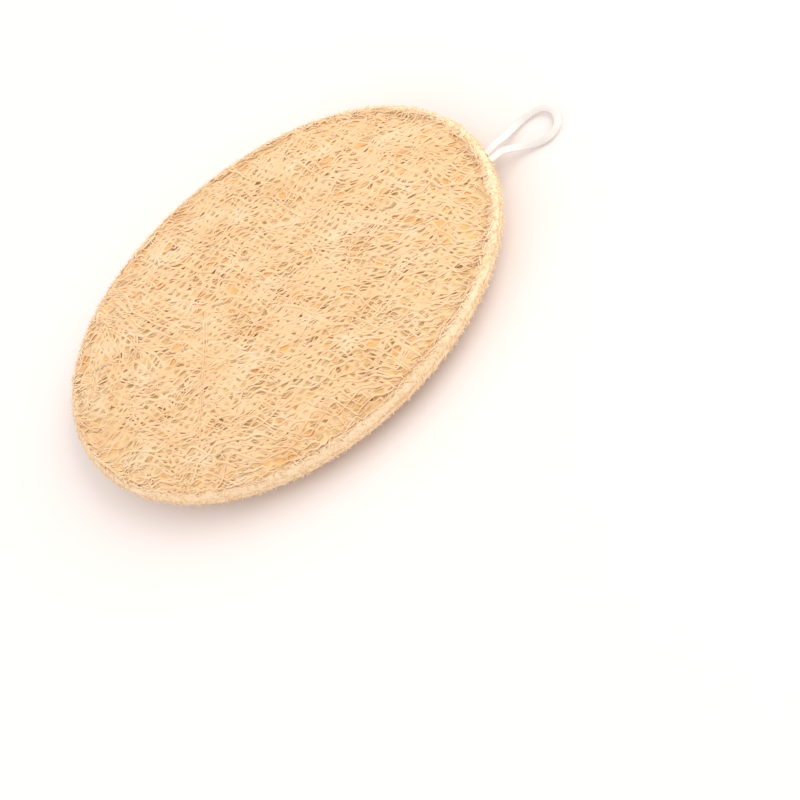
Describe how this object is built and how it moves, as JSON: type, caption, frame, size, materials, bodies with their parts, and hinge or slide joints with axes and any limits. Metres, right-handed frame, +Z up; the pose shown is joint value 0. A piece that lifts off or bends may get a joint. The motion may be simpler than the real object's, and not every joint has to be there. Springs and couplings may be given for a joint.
{
  "type": "loofah scrubbing pad",
  "caption": "Flat oval bath pad of natural loofah fibre net, with a sewn rim and a thin cotton hanging loop.",
  "frame": {"origin": "centre of the pad's footprint, on the surface it lies on", "axes": "+X along the pad towards the end with the hanging loop, +Y across it, +Z up out of its front face"},
  "size_m": [0.1738, 0.108, 0.0159],
  "materials": {
    "loofah_front": "matte dry fibre",
    "loofah_back": "matte dry fibre",
    "seam_thread": "matte cotton thread",
    "hanging_loop": "matte cotton tape"
  },
  "bodies": {
    "root": {"loofah_front": "loofah_front", "loofah_back": "loofah_back", "seam_thread_front": "seam_thread", "seam_thread_back": "seam_thread", "hanging_loop": "hanging_loop"}
  },
  "joints": []
}
